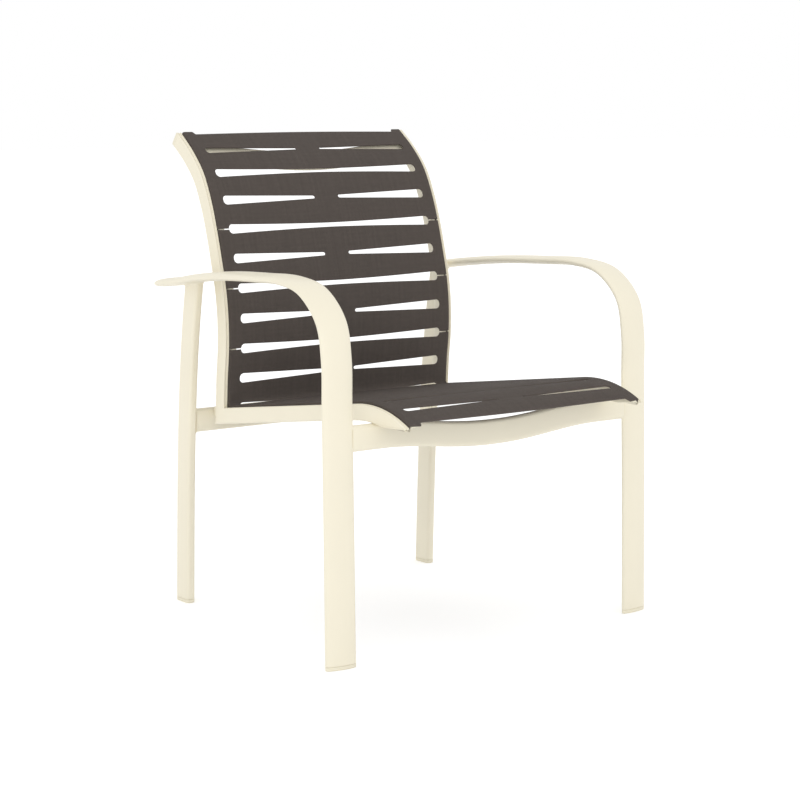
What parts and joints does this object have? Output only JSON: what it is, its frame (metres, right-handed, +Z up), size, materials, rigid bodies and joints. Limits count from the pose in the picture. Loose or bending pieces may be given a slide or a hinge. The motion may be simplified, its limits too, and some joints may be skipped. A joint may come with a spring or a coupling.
{
  "type": "sling patio chair",
  "caption": "Patio armchair: a welded frame of bent flat oval bars and side rails that stretch a slotted fabric sling over the seat and back.",
  "frame": {"origin": "on the floor under the centre of the bounding box", "axes": "+Z up, -Y the way the sitter faces, +X across the chair to the right side seen from the front"},
  "size_m": [0.6538, 0.7028, 0.8079],
  "materials": {
    "frame": "satin cream powder coat",
    "nylon": "matte moulded, frame colour",
    "sling_fabric": "fine matte woven mesh",
    "spline_rod": "matte extruded rod",
    "steel_bolt": "plain zinc plated"
  },
  "bodies": {
    "root": {"forward_seat_panel": "sling_fabric", "front_crossbar": "frame", "front_seat_panel": "sling_fabric", "left_arm_and_front_leg": "frame", "left_back_rail": "frame", "left_back_rail_cap": "nylon", "left_bracket_bolt_1": "steel_bolt", "left_bracket_bolt_2": "steel_bolt", "left_forward_seat_spline": "spline_rod", "left_front_glide": "nylon", "left_front_seat_spline": "spline_rod", "left_lower_back_spline": "spline_rod", "left_middle_back_spline": "spline_rod", "left_middle_seat_spline": "spline_rod", "left_rail_bracket": "frame", "left_rear_glide": "nylon", "left_rear_leg": "frame", "left_rear_seat_spline": "spline_rod", "left_seat_rail": "frame", "left_seat_rail_cap": "nylon", "left_top_back_spline": "spline_rod", "left_upper_back_spline": "spline_rod", "lower_back_panel": "sling_fabric", "middle_back_panel": "sling_fabric", "middle_seat_panel": "sling_fabric", "rear_crossbar": "frame", "rear_seat_panel": "sling_fabric", "right_arm_and_front_leg": "frame", "right_back_rail": "frame", "right_back_rail_cap": "nylon", "right_bracket_bolt_1": "steel_bolt", "right_bracket_bolt_2": "steel_bolt", "right_forward_seat_spline": "spline_rod", "right_front_glide": "nylon", "right_front_seat_spline": "spline_rod", "right_lower_back_spline": "spline_rod", "right_middle_back_spline": "spline_rod", "right_middle_seat_spline": "spline_rod", "right_rail_bracket": "frame", "right_rear_glide": "nylon", "right_rear_leg": "frame", "right_rear_seat_spline": "spline_rod", "right_seat_rail": "frame", "right_seat_rail_cap": "nylon", "right_top_back_spline": "spline_rod", "right_upper_back_spline": "spline_rod", "top_back_panel": "sling_fabric", "top_crossbar": "frame", "upper_back_panel": "sling_fabric"}
  },
  "joints": []
}
